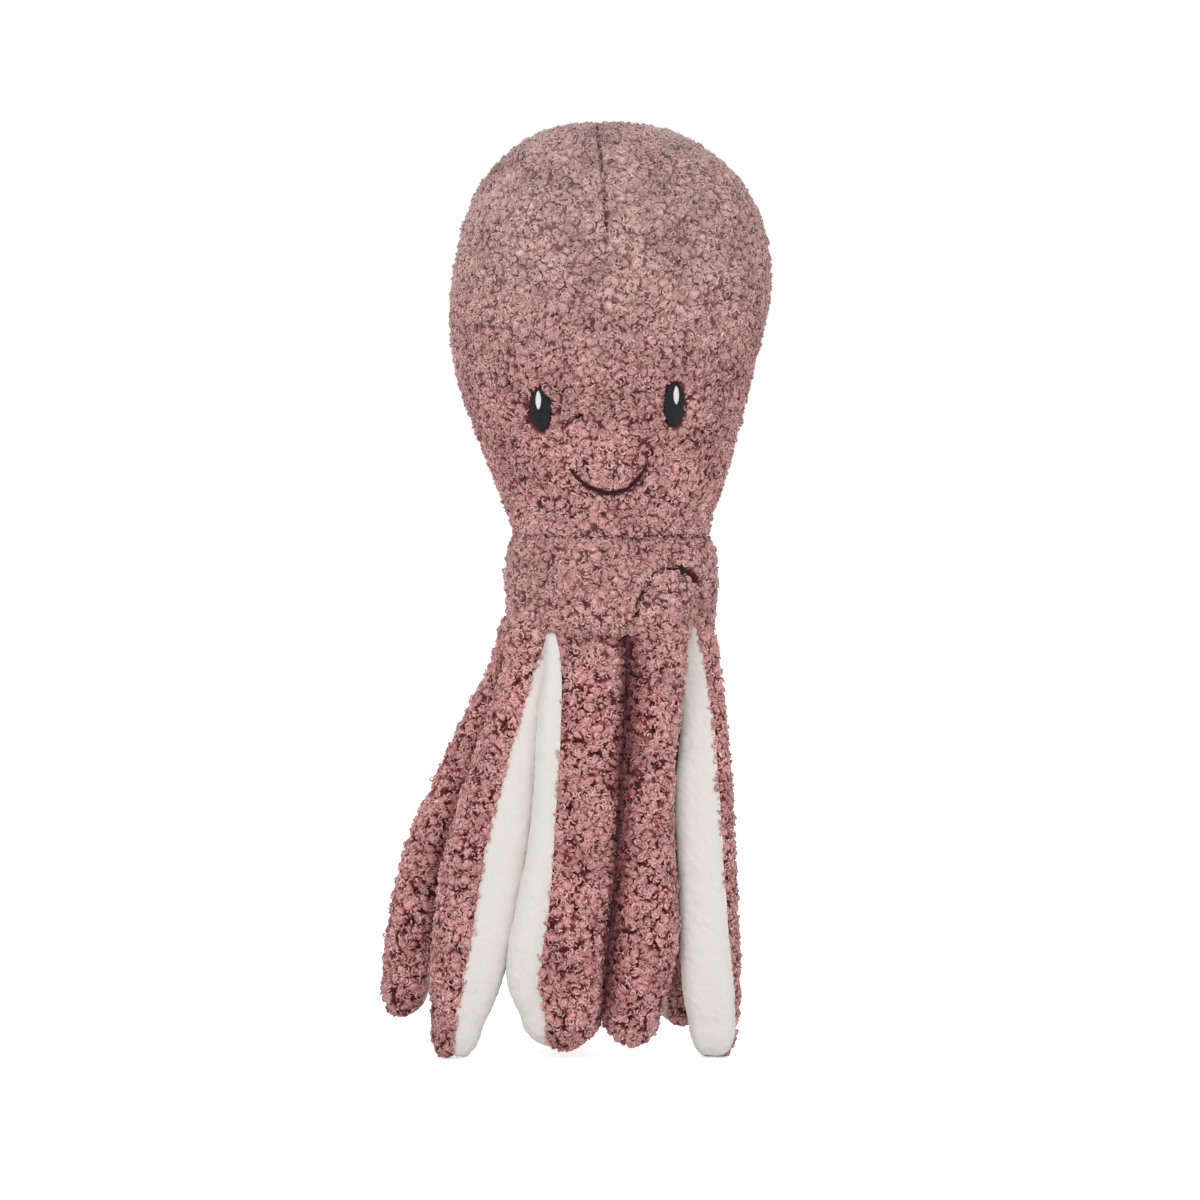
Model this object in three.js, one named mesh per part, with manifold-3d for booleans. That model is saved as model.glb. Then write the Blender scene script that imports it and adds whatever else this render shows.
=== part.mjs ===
// A soft toy octopus that stands on its arms: a tall stuffed head on a short torso,
// and eight stuffed arms under it, each sewn from a curly outer cloth and a plush
// underside. Millimetres, +Z up. The face looks towards -Y, with +X to the viewer's
// right, and the origin lies on the floor under the middle of the bounding box.

import * as THREE from "three";
import Module from "manifold-3d";
import { mergeVertices } from "three/addons/utils/BufferGeometryUtils.js";

const wasm = await Module();
wasm.setup();

// Cloth and clearances
const pile = 2.4; // thickness of a cover cloth with its pile
const seamGap = 0.3; // between pieces that are sewn or packed together
const neckGap = 0.6; // between the head and the torso's round top
const socketGap = 0.4; // between an arm's round root and the torso
const floorFlat = 0.5; // depth of the flat under each arm that stands
const overrun = 24; // how far a cutter runs past what it cuts

// Torso
const armDrop = 150; // from the floor to the torso's lower edge
const torsoWidth = 77;
const torsoDepth = 62;
const shoulderHeight = 26; // centre of the round top above the lower edge
const torsoSideShares = [[0.8, 0], [0.92, 0.07], [0.975, 0.25], [0.98, 0.6], [1, 1]];
const panelShare = 0.8; // the base panel's part of the torso's width

// Head
const headWidth = 114.5;
const headDepth = 94;
const headHeight = 144.7; // from the neck seam to the crown
const neckRise = 15.5; // from the centre of the torso's round top to the neck seam
const headSideShares = [
  [0.5, -0.05], [0.632, 0.01], [0.72, 0.105], [0.86, 0.27], [0.97, 0.45],
  [1, 0.58], [0.965, 0.71], [0.865, 0.82], [0.67, 0.915], [0.38, 0.988],
];
const headFootShare = -0.08; // lowest point of the head's shape, inside the torso's top

// Face, with each rise counted from the neck seam
const stitchDepth = 1; // how far the embroidery stands off the cloth
const eyeWidth = 7.6;
const eyeHeight = 16.1;
const eyeSpacing = 48.2;
const eyeRise = 42.3;
const eyeRiseShare = 0.022; // the right eye sits higher and the left one lower
const eyeLean = 4; // degrees, tops outwards
const glintWidth = 2.6;
const glintHeight = 7.1;
const glintOut = 0.9;
const glintRise = 3.3;
const smileRadius = 15;
const smileWidth = 1.5;
const smileRise = 26.1; // centre of the smile's circle
const smileStart = 192; // degrees
const smileEnd = 338;

// Arms. The lean is the furthest that a tip stands sideways from its root, and the
// splay the same from front to back. A turn is the way that the underside faces,
// in degrees from +X towards -Y, at the root, halfway and at the tip. A swing is the
// way that an arm lifts, by the same compass, and how far. Breadth and thickness are
// half sizes from side to side and from front to back, here those of the largest arm.
const rootRadius = 9.8;
const armBreadth = 17;
const armThickness = 12;
const armLean = 42;
const armSplay = 12;
const armRise = 12; // how far the root of the arm with a fold over it sits above the others
const armLift = 14; // how far the highest tip hangs above the floor
const armPitch = 8; // how far the roots' centres hang below the torso's edge
const tipLength = 12;
const heightShares = [1, 0.833, 0.667, 0.5, 0.333, 0.18, 0.083];
const thicknessShares = [0.87, 0.94, 1, 1, 0.96, 0.8];
const arms = [
  {
    name: "front_centre",
    rootRadiusShare: 0.939,
    rootBreadthShare: 0.8,
    breadthShare: 1,
    thicknessShare: 1,
    rootShares: [-0.203, -0.645],
    leanShares: [0, -0.036, -0.067, -0.11, -0.183, -0.257, -0.257],
    splayShares: [0, -0.083, -0.125, -0.167, -0.208, -0.25, -0.25],
    breadthShares: [0.88, 0.845, 0.87, 0.92, 0.97, 0.79],
    turns: [210, 217, 189],
    swing: [90, 60],
  },
  {
    name: "front_left",
    rootRadiusShare: 0.857,
    breadthShare: 0.9,
    thicknessShare: 0.958,
    rootShares: [-0.766, -0.323],
    leanShares: [0, -0.131, -0.24, -0.352, -0.442, -0.536, -0.595],
    splayShares: [0, -0.25, -0.417, -0.583, -0.708, -0.792, -0.833],
    breadthShares: [0.66, 0.863, 0.98, 0.965, 0.83, 0.62],
    turns: [-22, 0, 0],
    swing: [130, 60],
  },
  {
    name: "front_right",
    rootRadiusShare: 1,
    breadthShare: 0.682,
    thicknessShare: 0.917,
    riseShare: 1,
    rootShares: [0.442, -0.63],
    leanShares: [0, -0.024, -0.079, -0.086, -0.098, -0.138, -0.183],
    splayShares: [0, -0.083, -0.167, -0.208, -0.25, -0.292, -0.292],
    breadthShares: [0.845, 0.785, 0.853, 0.99, 1, 0.86],
    turns: [270, 270, 270],
    swing: [80, 60],
  },
  {
    name: "back_centre",
    rootRadiusShare: 0.878,
    breadthShare: 0.676,
    thicknessShare: 0.917,
    rootShares: [0.26, 0.645],
    leanShares: [0, -0.107, -0.226, -0.345, -0.464, -0.56, -0.595],
    splayShares: [0, 0.042, 0.042, 0, 0, 0, 0],
    breadthShares: [0.87, 0.957, 1, 1, 0.913, 0.74],
    turns: [100, 100, 100],
    swing: [270, 60],
  },
  {
    name: "right",
    rootRadiusShare: 0.837,
    breadthShare: 0.647,
    thicknessShare: 0.917,
    rootShares: [0.831, -0.226],
    leanShares: [0, 0.048, 0.048, 0.071, 0.095, 0.114, 0.129],
    splayShares: [0, -0.167, -0.417, -0.583, -0.75, -0.875, -0.917],
    breadthShares: [0.8, 1, 0.99, 1, 0.99, 0.82],
    turns: [191, 146, 130],
    swing: [40, 60],
  },
  {
    name: "back_left",
    rootRadiusShare: 0.878,
    breadthShare: 0.606,
    thicknessShare: 0.858,
    rootShares: [-0.312, 0.645],
    leanShares: [0, -0.214, -0.452, -0.69, -0.893, -1.024, -1.048],
    splayShares: [0, 0, -0.042, -0.083, -0.125, -0.167, -0.167],
    breadthShares: [0.92, 0.97, 1, 1, 0.95, 0.8],
    turns: [75, 75, 75],
    swing: [255, 60],
  },
  {
    name: "far_left",
    rootRadiusShare: 0.867,
    breadthShare: 0.582,
    thicknessShare: 0.833,
    liftShare: 1,
    rootShares: [-0.805, 0.258],
    leanShares: [0, -0.274, -0.524, -0.75, -0.881, -0.96, -1],
    splayShares: [0, 0, -0.125, -0.333, -0.5, -0.625, -0.667],
    breadthShares: [0.91, 0.94, 1, 0.99, 0.98, 0.89],
    turns: [-37, -37, -37],
    swing: [182, 50],
  },
  {
    name: "back_right",
    rootRadiusShare: 0.837,
    breadthShare: 0.588,
    thicknessShare: 0.833,
    liftShare: 0.714,
    rootShares: [0.779, 0.355],
    leanShares: [0, -0.024, -0.06, -0.088, -0.107, -0.119, -0.124],
    splayShares: [0, 0.042, 0.083, 0.083, 0.083, 0.083, 0.083],
    breadthShares: [0.9, 0.96, 1, 1, 0.98, 0.86],
    turns: [217, 217, 217],
    swing: [320, 60],
  },
];

// How finely the shapes are divided
const bodySides = 16;
const halfSides = 5; // of an arm's outer half, and of its underside
const armSteps = 6;
const ballSides = 10;
const domeSides = 20;
const domeRows = 12;
const badgeSteps = 6;
const rootCapAngles = [-90, -45];
const tipCapAngles = [35, 65, 90];
const domeAngles = [25, 50, 73];

// Places worked out from the sizes
const torsoRadius = torsoWidth / 2;
const torsoRatio = torsoDepth / torsoWidth;
const headRatio = headDepth / headWidth;
const domeCentre = armDrop + shoulderHeight;
const neckHeight = domeCentre + neckRise;
const { degToRad } = THREE.MathUtils;

const rose = new THREE.MeshStandardMaterial({ color: "#aa787a", roughness: 0.95, metalness: 0 });
const white = new THREE.MeshStandardMaterial({ color: "#e0ded8", roughness: 0.95, metalness: 0 });
const fibre = new THREE.MeshStandardMaterial({ color: "#f2f0ea", roughness: 1, metalness: 0 });
const thread = new THREE.MeshStandardMaterial({ color: "#23262a", roughness: 0.6, metalness: 0 });
const glint = new THREE.MeshStandardMaterial({ color: "#f4f2ee", roughness: 0.6, metalness: 0 });

// A closed solid for joining and cutting, from a mesh
function solid(geometry) {
  const bare = new THREE.BufferGeometry();
  bare.setAttribute("position", geometry.getAttribute("position"));
  bare.setIndex(geometry.getIndex());
  const merged = mergeVertices(bare);
  const vertProperties = new Float32Array(merged.getAttribute("position").array);
  const corners = merged.getIndex().array;
  const faces = [];
  for (let i = 0; i < corners.length; i += 3) {
    const face = corners.slice(i, i + 3);
    if (new Set(face).size === 3) faces.push(...face);
  }
  const triVerts = new Uint32Array(faces);
  return new wasm.Manifold(new wasm.Mesh({ numProp: 3, vertProperties, triVerts }));
}

// A mesh from a solid, counted from the pivot of the group that holds it
function mesh(name, shape, material, pivot) {
  const { vertProperties, triVerts } = shape.getMesh();
  const geometry = new THREE.BufferGeometry();
  geometry.setAttribute("position", new THREE.BufferAttribute(vertProperties, 3));
  geometry.setIndex(new THREE.BufferAttribute(triVerts, 1));
  geometry.translate(-pivot.x, -pivot.y, -pivot.z);
  geometry.computeVertexNormals();
  const piece = new THREE.Mesh(geometry, material);
  piece.name = name;
  return piece;
}

// A closed skin over rings of points. The first and last rings are drawn to a point
// or a line, and each patch is split along its shorter diagonal.
function skin(rings) {
  const sides = rings[0].length;
  const points = rings.flat();
  const span = (a, b) => points[a].distanceToSquared(points[b]);
  const faces = [];
  for (let ring = 1; ring < rings.length; ring += 1) {
    for (let side = 0; side < sides; side += 1) {
      const a = (ring - 1) * sides + side;
      const b = (ring - 1) * sides + ((side + 1) % sides);
      const [c, d] = [a + sides, b + sides];
      const split = span(b, c) <= span(a, d) ? [a, b, c, b, d, c] : [a, b, d, a, d, c];
      faces.push(...split);
    }
  }
  const geometry = new THREE.BufferGeometry().setFromPoints(points);
  geometry.setIndex(faces);
  return solid(geometry);
}

function ringPoint(section, degrees) {
  const angle = degToRad(degrees);
  const { centre, across, front, halfWidth, halfDepth } = section;
  return centre.clone()
    .addScaledVector(across, halfWidth * Math.cos(angle))
    .addScaledVector(front, halfDepth * Math.sin(angle));
}

function levelEllipse(height, halfWidth, halfDepth) {
  return Array.from({ length: bodySides }, (_, side) => {
    const angle = (2 * Math.PI * side) / bodySides;
    return new THREE.Vector3(halfWidth * Math.cos(angle), halfDepth * Math.sin(angle), height);
  });
}

// A stuffed body turned from its side outline, wider than deep, grown or shrunk all over
function stuffed(outline, depthRatio, grow) {
  const rings = [];
  for (let i = 1; i < outline.length - 1; i += 1) {
    const along = outline[i + 1].clone().sub(outline[i - 1]).normalize();
    const { x: radius, y: height } = outline[i];
    const out = grow * along.y;
    rings.push(levelEllipse(height - grow * along.x, radius + out, radius * depthRatio + out));
  }
  const foot = levelEllipse(outline[0].y - grow, 0, 0);
  const crown = levelEllipse(outline[outline.length - 1].y + grow, 0, 0);
  return skin([foot, ...rings, crown]);
}

function outlineFrom(shares, radius, base, height) {
  return shares.map(([wide, high]) => new THREE.Vector2(wide * radius, base + high * height));
}

function torsoOutline() {
  const dome = [...domeAngles, 90].map((degrees) => {
    const angle = degToRad(degrees);
    const radius = degrees < 90 ? torsoRadius * Math.cos(angle) : 0;
    return new THREE.Vector2(radius, domeCentre + torsoRadius * Math.sin(angle));
  });
  const sides = outlineFrom(torsoSideShares, torsoRadius, armDrop, shoulderHeight);
  return [new THREE.Vector2(0, armDrop), ...sides, ...dome];
}

function headOutline() {
  const shares = [[0, headFootShare], ...headSideShares, [0, 1]];
  return outlineFrom(shares, headWidth / 2, neckHeight, headHeight);
}

const torsoShape = (grow) => stuffed(torsoOutline(), torsoRatio, grow);
const headShape = (grow) => stuffed(headOutline(), headRatio, grow);

// The round top that the head turns on, as a cutter that clears it by a gap
function domeCutter(gap) {
  const facet = Math.cos(Math.PI / domeSides) * Math.cos(Math.PI / (2 * domeRows));
  const sphere = new THREE.SphereGeometry(1 / facet, domeSides, domeRows);
  sphere.scale(torsoRadius + gap, torsoDepth / 2 + gap, torsoRadius + gap);
  sphere.translate(0, 0, domeCentre);
  return solid(sphere);
}

// The space in front of the side seams, or behind them
function seamHalf(way) {
  const reach = headWidth + overrun;
  const box = new THREE.BoxGeometry(reach, reach, 2 * (armDrop + headHeight + overrun));
  box.translate(0, (way * (reach + seamGap)) / 2, armDrop);
  return solid(box);
}

function coverHalves(name, shell, pivot) {
  return [
    mesh(`${name}_cover_front`, shell.intersect(seamHalf(-1)), rose, pivot),
    mesh(`${name}_cover_back`, shell.intersect(seamHalf(1)), rose, pivot),
  ];
}

function panelPlug(grow, low, high) {
  const halfWidth = panelShare * torsoRadius + grow;
  const halfDepth = (panelShare * torsoDepth) / 2 + grow;
  const ends = [low, high].map((height) => levelEllipse(height, 0, 0));
  const rims = [low, high].map((height) => levelEllipse(height, halfWidth, halfDepth));
  return skin([ends[0], ...rims, ends[1]]);
}

// Half sizes of an arm's root, from side to side and from front to back
function rootSize(arm) {
  const halfDepth = arm.rootRadiusShare * rootRadius;
  const halfWidth = arm.rootBreadthShare ? arm.rootBreadthShare * armBreadth : halfDepth;
  return { halfWidth, halfDepth };
}

function rootCentre(arm) {
  const [wide, deep] = arm.rootShares;
  const height = armDrop - armPitch + (arm.riseShare ?? 0) * armRise;
  return new THREE.Vector3(wide * torsoRadius, (deep * torsoDepth) / 2, height);
}

// The middle line of an arm whose tip is shifted up by a given height
function armPath(arm, shift) {
  const root = rootCentre(arm);
  const points = heightShares.map((high, i) => new THREE.Vector3(
    root.x + armLean * arm.leanShares[i],
    root.y + armSplay * arm.splayShares[i],
    shift + (root.z - shift) * high,
  ));
  return new THREE.CatmullRomCurve3(points);
}

function curveOf(values) {
  return new THREE.CatmullRomCurve3(values.map((value) => new THREE.Vector3(value, 0, 0)));
}

// Cross-sections down an arm, each an oval across the arm's middle line
function armSections(arm, shift) {
  const path = armPath(arm, shift);
  const widths = arm.breadthShares.map((share) => share * arm.breadthShare * armBreadth);
  const depths = thicknessShares.map((share) => share * arm.thicknessShare * armThickness);
  const root = rootSize(arm);
  const halfWidths = curveOf([root.halfWidth, ...widths]);
  const halfDepths = curveOf([root.halfDepth, ...depths]);
  const turns = curveOf(arm.turns);
  return Array.from({ length: armSteps + 1 }, (_, step) => {
    const share = step / armSteps;
    const down = path.getTangent(share);
    const front = down.clone().cross(new THREE.Vector3(1, 0, 0)).normalize();
    return {
      centre: path.getPoint(share),
      down,
      front,
      across: front.clone().cross(down),
      halfWidth: halfWidths.getPoint(share).x,
      halfDepth: halfDepths.getPoint(share).x,
      turn: turns.getPoint(share).x,
    };
  });
}

// An arm's sections with its round ends, drawn in or out by a growth all over
function roundedSections(sections, grow) {
  const drawn = (section, reach) => (degrees) => {
    const angle = degToRad(degrees);
    const share = Math.cos(angle);
    return {
      ...section,
      centre: section.centre.clone().addScaledVector(section.down, reach * Math.sin(angle)),
      halfWidth: (section.halfWidth + grow) * share,
      halfDepth: (section.halfDepth + grow) * share,
    };
  };
  const first = sections[0];
  const last = sections[sections.length - 1];
  return [
    ...rootCapAngles.map(drawn(first, first.halfDepth + grow)),
    ...sections.map((section) => drawn(section, 0)(0)),
    ...tipCapAngles.map(drawn(last, tipLength + grow)),
  ];
}

// Points round half of each section, on the underside or on the outer side
function halfRings(sections, grow, way) {
  return roundedSections(sections, grow).map((section) => {
    const start = section.turn - 90 * way;
    return Array.from({ length: halfSides + 1 }, (_, side) => (
      ringPoint(section, start + (180 * side) / halfSides)
    ));
  });
}

function armShape(sections, grow) {
  const under = halfRings(sections, grow, 1);
  const over = halfRings(sections, grow, -1);
  return skin(under.map((ring, i) => [...ring.slice(0, -1), ...over[i].slice(0, -1)]));
}

// Half of an arm's cover, moved off the seams by half of their gap
function armCover(sections, way) {
  const moved = sections.map((section) => {
    const shift = (way * seamGap) / 2;
    const step = { ...section, halfWidth: shift, halfDepth: shift };
    return { ...section, centre: ringPoint(step, section.turn) };
  });
  const outside = halfRings(moved, 0, way);
  const inside = halfRings(moved, -pile, way);
  return skin(outside.map((ring, i) => [...ring, ...inside[i].reverse()]));
}

// An arm whose tip reaches just under the floor, or hangs at its own lift
function settledSections(arm) {
  const lowest = armShape(armSections(arm, 0), 0).boundingBox().min[2];
  const wanted = arm.liftShare ? arm.liftShare * armLift : -floorFlat;
  const tipShare = heightShares[heightShares.length - 1];
  return armSections(arm, (wanted - lowest) / (1 - tipShare));
}

function underFloor() {
  const box = new THREE.BoxGeometry(2 * headHeight, 2 * headHeight, overrun);
  box.translate(0, 0, -overrun / 2);
  return solid(box);
}

// What the torso gives up to an arm's round root, and to a raised arm's swing
function socketCutter(arm) {
  const root = rootSize(arm);
  const radius = root.halfDepth + socketGap;
  const halfWidth = root.halfWidth + socketGap;
  const centre = rootCentre(arm);
  const ball = new THREE.SphereGeometry(1 / Math.cos(Math.PI / ballSides), ballSides, ballSides);
  ball.scale(radius, halfWidth, radius);
  ball.rotateZ(degToRad(-arm.swing[0]));
  ball.translate(centre.x, centre.y, centre.z);
  return arm.riseShare ? solid(ball).add(swingCutter(arm, radius, centre)) : solid(ball);
}

function swingCutter(arm, radius, centre) {
  const [way, range] = arm.swing;
  const upper = degToRad(range);
  const shape = new THREE.Shape();
  shape.moveTo(-radius, -overrun);
  shape.lineTo(-radius, 0);
  shape.absarc(0, 0, radius, Math.PI, upper, true);
  shape.lineTo(overrun, radius * Math.sin(upper) - overrun / Math.tan(upper));
  shape.lineTo(overrun, -overrun);
  const settings = { depth: 2 * radius, bevelEnabled: false, curveSegments: badgeSteps };
  const slot = new THREE.ExtrudeGeometry(shape, settings);
  slot.translate(0, 0, -radius);
  slot.rotateX(Math.PI / 2);
  slot.rotateZ(-degToRad(way));
  slot.translate(centre.x, centre.y, centre.z);
  return solid(slot);
}

function torso() {
  const pivot = new THREE.Vector3(0, 0, domeCentre);
  const group = new THREE.Group();
  group.position.copy(pivot);
  const sockets = arms.map(socketCutter).reduce((all, one) => all.add(one));
  const lining = torsoShape(-pile).add(panelPlug(seamGap, armDrop - overrun, armDrop + pile));
  const shell = torsoShape(0).subtract(lining).subtract(sockets);
  const panel = panelPlug(0, armDrop, armDrop + pile).subtract(sockets);
  const filling = torsoShape(-pile - seamGap).subtract(sockets);
  group.add(...coverHalves("torso", shell, pivot));
  group.add(mesh("base_panel", panel, white, pivot));
  group.add(mesh("torso_stuffing", filling, fibre, pivot));
  return group;
}

// A flat outline laid on the face, between two heights above the cloth
function badge(shape, low, high) {
  const settings = { depth: headDepth, bevelEnabled: false, curveSegments: badgeSteps };
  const stamp = new THREE.ExtrudeGeometry(shape, settings);
  stamp.rotateX(Math.PI / 2);
  return headShape(high).subtract(headShape(low)).intersect(solid(stamp));
}

function ovalShape(x, z, width, height, lean) {
  const shape = new THREE.Shape();
  shape.absellipse(x, z, width / 2, height / 2, 0, 2 * Math.PI, false, lean);
  return shape;
}

function eye(side, way, pivot) {
  const x = (way * eyeSpacing) / 2;
  const z = neckHeight + eyeRise * (1 + way * eyeRiseShare);
  const lean = -way * degToRad(eyeLean);
  const oval = ovalShape(x, z, eyeWidth, eyeHeight, lean);
  const spot = ovalShape(x + way * glintOut, z + glintRise, glintWidth, glintHeight, lean);
  const eyeTop = seamGap + stitchDepth;
  const pupil = badge(oval, seamGap, eyeTop);
  const shine = badge(spot, eyeTop + seamGap, eyeTop + stitchDepth);
  return [
    mesh(`eye_${side}`, pupil, thread, pivot),
    mesh(`eye_${side}_highlight`, shine, glint, pivot),
  ];
}

function mouth(pivot) {
  const z = neckHeight + smileRise;
  const start = degToRad(smileStart);
  const end = degToRad(smileEnd);
  const shape = new THREE.Shape();
  shape.absarc(0, z, smileRadius + smileWidth / 2, start, end, false);
  shape.absarc(0, z, smileRadius - smileWidth / 2, end, start, true);
  return mesh("mouth_stitch", badge(shape, seamGap, seamGap + stitchDepth), thread, pivot);
}

function head() {
  const pivot = new THREE.Vector3(0, 0, domeCentre);
  const group = new THREE.Group();
  group.position.copy(pivot);
  const neck = domeCutter(neckGap);
  const shell = headShape(0).subtract(headShape(-pile)).subtract(neck);
  const filling = headShape(-pile - seamGap).subtract(neck);
  group.add(...coverHalves("head", shell, pivot));
  group.add(mesh("head_stuffing", filling, fibre, pivot));
  group.add(...eye("left", -1, pivot), ...eye("right", 1, pivot), mouth(pivot));
  return group;
}

// One arm, cut back where a larger one already lies
function armGroup(arm, larger) {
  const pivot = rootCentre(arm);
  const sections = settledSections(arm);
  const group = new THREE.Group();
  group.position.copy(pivot);
  const trim = (shape) => larger.reduce((left, other) => left.subtract(other), shape);
  const cover = (way) => trim(armCover(sections, way).subtract(underFloor()));
  const filling = trim(armShape(sections, -pile - seamGap));
  const name = `arm_${arm.name}`;
  group.add(mesh(`${name}_outer`, cover(-1), rose, pivot));
  group.add(mesh(`${name}_underside`, cover(1), white, pivot));
  group.add(mesh(`${name}_stuffing`, filling, fibre, pivot));
  larger.push(armShape(sections, seamGap));
  return group;
}

const octopus = new THREE.Group();
const placed = [];
octopus.add(torso(), head(), ...arms.map((arm) => armGroup(arm, placed)));
octopus.updateMatrixWorld(true);
const middle = new THREE.Box3().setFromObject(octopus, true).getCenter(new THREE.Vector3());
octopus.position.set(-middle.x, -middle.y, 0);

export default octopus;
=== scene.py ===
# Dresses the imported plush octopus: curly loop pile, white plush undersides, stitched face.
import bpy
import math
import numpy as np
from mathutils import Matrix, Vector


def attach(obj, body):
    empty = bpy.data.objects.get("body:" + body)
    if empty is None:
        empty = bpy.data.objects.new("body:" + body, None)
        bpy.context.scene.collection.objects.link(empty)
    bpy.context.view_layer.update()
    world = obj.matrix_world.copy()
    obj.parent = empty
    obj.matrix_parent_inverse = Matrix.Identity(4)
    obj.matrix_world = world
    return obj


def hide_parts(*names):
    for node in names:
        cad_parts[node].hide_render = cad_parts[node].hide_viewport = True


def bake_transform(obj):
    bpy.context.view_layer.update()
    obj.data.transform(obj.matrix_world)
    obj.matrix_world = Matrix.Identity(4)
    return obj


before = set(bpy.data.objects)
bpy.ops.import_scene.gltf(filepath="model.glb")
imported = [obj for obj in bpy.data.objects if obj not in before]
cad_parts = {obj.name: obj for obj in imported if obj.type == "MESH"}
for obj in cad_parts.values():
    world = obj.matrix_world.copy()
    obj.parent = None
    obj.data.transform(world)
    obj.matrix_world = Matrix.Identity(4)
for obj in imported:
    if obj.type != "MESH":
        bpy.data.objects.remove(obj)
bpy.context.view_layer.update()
MM = 0.001

# The camera looks at the toy's front from a little above
MIDDLE = (8.9, 0.0, 164.2)  # mm, what the middle of the picture shows
VIEW_WIDTH = 434.0
LENS = 250.0
SENSOR = 36.0
ELEVATION = 2.5


def add_camera():
    cam = bpy.data.objects.new("camera", bpy.data.cameras.new("camera"))
    bpy.context.scene.collection.objects.link(cam)
    cam.data.lens, cam.data.sensor_width = LENS, SENSOR
    distance = VIEW_WIDTH * LENS / SENSOR * MM
    rise = math.radians(ELEVATION)
    target = Vector(MIDDLE) * MM
    cam.location = target + distance * Vector((0, -math.cos(rise), math.sin(rise)))
    cam.rotation_euler = (math.pi / 2 - rise, 0, 0)
    bpy.context.scene.camera = cam


add_camera()


# Noise on points in millimetres, all seeded
def hashed(x, y, z, seed):
    h = (x.astype(np.int64).astype(np.uint32) * np.uint32(0x8DA6B343)
         ^ y.astype(np.int64).astype(np.uint32) * np.uint32(0xD8163841)
         ^ z.astype(np.int64).astype(np.uint32) * np.uint32(0xCB1AB31F)
         ^ np.uint32(seed * 2654435761 % 2**32))
    h ^= h >> np.uint32(13)
    h *= np.uint32(0x5BD1E995)
    h ^= h >> np.uint32(15)
    h *= np.uint32(0x27D4EB2D)
    return h ^ (h >> np.uint32(14))


def three_parts(h):
    """Three numbers from 0 to 1, of ten bits each."""
    parts = ((h >> np.uint32(10 * i)) & np.uint32(1023) for i in range(3))
    return [part.astype(np.float32) / 1023 for part in parts]


def cells(p, size, seed):
    """Distances in mm to the nearest and next feature points, and the nearest one's own number."""
    q = (p / size).astype(np.float32)
    base = np.floor(q)
    near = np.full(len(q), 9.0, np.float32)
    after = near.copy()
    tone = np.zeros(len(q), np.float32)
    for i in (-1, 0, 1):
        for j in (-1, 0, 1):
            for k in (-1, 0, 1):
                cell = base + np.array((i, j, k), np.float32)
                h = hashed(cell[:, 0], cell[:, 1], cell[:, 2], seed)
                at = three_parts(h)
                d = sum((cell[:, n] + at[n] - q[:, n]) ** 2 for n in range(3))
                closer = d < near
                after = np.where(closer, near, np.minimum(after, d))
                tone = np.where(closer, (h >> np.uint32(22)).astype(np.float32) / 1023, tone)
                near = np.where(closer, d, near)
    return np.sqrt(near) * size, np.sqrt(after) * size, tone


def noise3(p, size, seed):
    """Smooth noise from -1 to 1, three numbers a point."""
    q = (p / size).astype(np.float32)
    base = np.floor(q)
    f = q - base
    f = f * f * (3 - 2 * f)
    total = np.zeros_like(q)
    for i in (0, 1):
        for j in (0, 1):
            for k in (0, 1):
                h = hashed(base[:, 0] + i, base[:, 1] + j, base[:, 2] + k, seed)
                w = (np.where(i, f[:, 0], 1 - f[:, 0]) * np.where(j, f[:, 1], 1 - f[:, 1])
                     * np.where(k, f[:, 2], 1 - f[:, 2]))
                total += w[:, None] * np.stack(three_parts(h), 1)
    return 2 * total - 1


def smooth(x):
    x = np.clip(x, 0, 1)
    return x * x * (3 - 2 * x)


def near_to(distance, reach, fade):
    """1 close by, to 0 from reach away on, with the change fade wide."""
    return smooth((reach - distance) / fade)


def unit(v):
    return v / np.maximum(np.linalg.norm(v, axis=-1, keepdims=True), 1e-9)


def curve(rows, t):
    """Points at shares t along a smooth curve through evenly numbered rows."""
    rows = np.atleast_2d(np.array(rows, float).T).T
    n = len(rows) - 1
    padded = np.vstack([2 * rows[0] - rows[1], rows, 2 * rows[-1] - rows[-2]])
    at = np.clip(np.asarray(t, float) * n, 0, n)
    i = np.minimum(at.astype(int), n - 1)
    f = (at - i)[:, None]
    a, b, c, d = (padded[i + k] for k in range(4))
    square, cube = 2 * a - 5 * b + 4 * c - d, 3 * b - a - 3 * c + d
    return 0.5 * (2 * b + (c - a) * f + square * f**2 + cube * f**3)


def lengths(line):
    """How far along a line of points each of them lies."""
    return np.concatenate([[0], np.cumsum(np.linalg.norm(np.diff(line, axis=0), axis=1))])


class Skin:
    """A grid of points in mm, rings down and places round, that may close all the way round."""
    def __init__(self, grid, closed):
        self.grid, self.closed = grid, closed

    def normals(self):
        g = self.grid
        around = (np.roll(g, -1, 1) - np.roll(g, 1, 1)) if self.closed else np.gradient(g, axis=1)
        down = np.gradient(g, axis=0)
        return unit(np.cross(around, down))

    def flat(self):
        return self.grid.reshape(-1, 3)


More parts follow.
